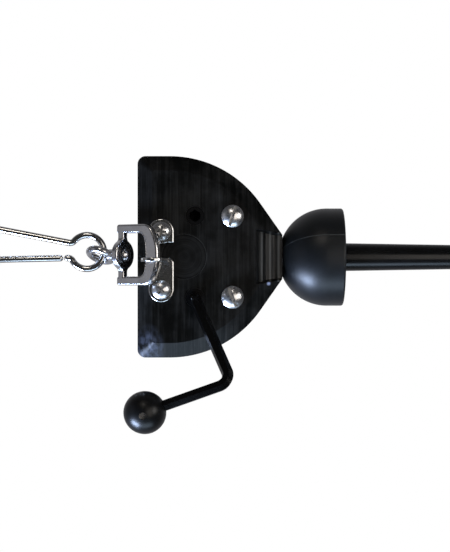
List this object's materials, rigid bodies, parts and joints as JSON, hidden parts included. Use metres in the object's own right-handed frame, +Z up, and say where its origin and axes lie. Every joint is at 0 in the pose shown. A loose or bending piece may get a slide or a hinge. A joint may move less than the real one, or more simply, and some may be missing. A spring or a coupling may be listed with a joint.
{
  "type": "ceiling mounted pulley rack",
  "caption": "Hand-cranked winch head that hangs by a swivel shackle and wire snap hook from a ceiling ring, with a half-ball bell and a rod below it.",
  "frame": {"origin": "ceiling seat: the inside top of the snap hook's crook", "axes": "+Z up towards the ceiling, -Y to the front, where the crank and the shackle's lug are, +X to the side away from the crank"},
  "size_m": [0.1153, 0.0728, 0.2966],
  "materials": {
    "stainless": "polished",
    "cast_steel": "tumbled, bright",
    "zinc_screws": "bright zinc plate",
    "plate_steel": "pressed, bright",
    "black_block": "machined black, fine mill lines",
    "black_bar": "black, semi-gloss",
    "black_shaft": "black oxide",
    "ball_plastic": "satin black",
    "bell_rubber": "smooth satin black",
    "rod_gloss": "gloss black",
    "brass": "turned",
    "inner_steel": "ground",
    "drum_aluminium": "turned"
  },
  "bodies": {
    "hook": {"snap_wire": "stainless"},
    "latch": {"latch_arm": "stainless"},
    "swivel": {"swivel_eye": "cast_steel", "swivel_washer": "cast_steel", "swivel_rivet_head": "cast_steel"},
    "shackle": {"shackle_bow": "cast_steel"},
    "head": {"front_cheek": "black_block", "rear_cheek": "black_block", "eye_plate": "plate_steel", "eye_plate_screws": "zinc_screws", "eye_plate_inserts": "brass", "cheek_screws": "zinc_screws", "cheek_nuts": "inner_steel", "dowel_pins": "inner_steel", "drum_axle": "inner_steel", "axle_plug": "black_block", "friction_washer": "inner_steel", "rear_bushes": "brass", "guide_tube": "inner_steel", "guide_collar": "inner_steel"},
    "drum": {"cord_drum": "drum_aluminium", "drum_gear": "brass", "drive_pins": "inner_steel"},
    "crank": {"crank_pinion": "black_shaft", "crank_lever": "black_bar", "ball_knob": "ball_plastic", "knob_grub_screw": "zinc_screws"},
    "spare_shaft": {"spare_pinion": "black_shaft"},
    "drop": {"bell": "bell_rubber", "bell_bush": "brass", "drop_rod": "rod_gloss"}
  },
  "joints": [
    {"name": "latch_hinge", "type": "hinge", "parent": "hook", "child": "latch", "pos_m": [-0.00802, 0, -0.05153], "axis": [0, 1, 0], "range_deg": [0, 12], "stiffness_Nm_per_rad": 0.08, "springref_deg": -5.73},
    {"name": "hook_pivot", "type": "hinge", "parent": "hook", "child": "swivel", "pos_m": [-0.0067, -0.00083, -0.06915], "axis": [1, 0, 0], "range_deg": [-12, 24]},
    {"name": "swivel_spin", "type": "hinge", "parent": "swivel", "child": "shackle", "pos_m": [-0.0067, -0.00754, -0.0791], "axis": [0, 0.5592, 0.829], "continuous": true},
    {"name": "shackle_pivot", "type": "hinge", "parent": "shackle", "child": "head", "pos_m": [-0.0067, -0.0166, -0.09253], "axis": [1, 0, 0], "range_deg": [-30, 0]},
    {"name": "drop_slide", "type": "slide", "parent": "head", "child": "drop", "axis": [0, 0, -1], "range_m": [0, 0.085]},
    {"name": "drum_spin", "type": "hinge", "parent": "head", "child": "drum", "pos_m": [-0.0075, 0.003, -0.1054], "axis": [0, -1, 0], "continuous": true},
    {"name": "crank_spin", "type": "hinge", "parent": "head", "child": "crank", "pos_m": [-0.02489, 0.003, -0.11006], "axis": [0, -1, 0], "continuous": true},
    {"name": "spare_spin", "type": "hinge", "parent": "head", "child": "spare_shaft", "pos_m": [0.00989, 0.003, -0.11006], "axis": [0, -1, 0], "continuous": true}
  ],
  "couplings": [
    {"joint": "drum_spin", "follows": "drop_slide", "rad_per_m": 166.67},
    {"joint": "crank_spin", "follows": "drop_slide", "rad_per_m": -333.33},
    {"joint": "spare_spin", "follows": "drop_slide", "rad_per_m": -333.33}
  ]
}
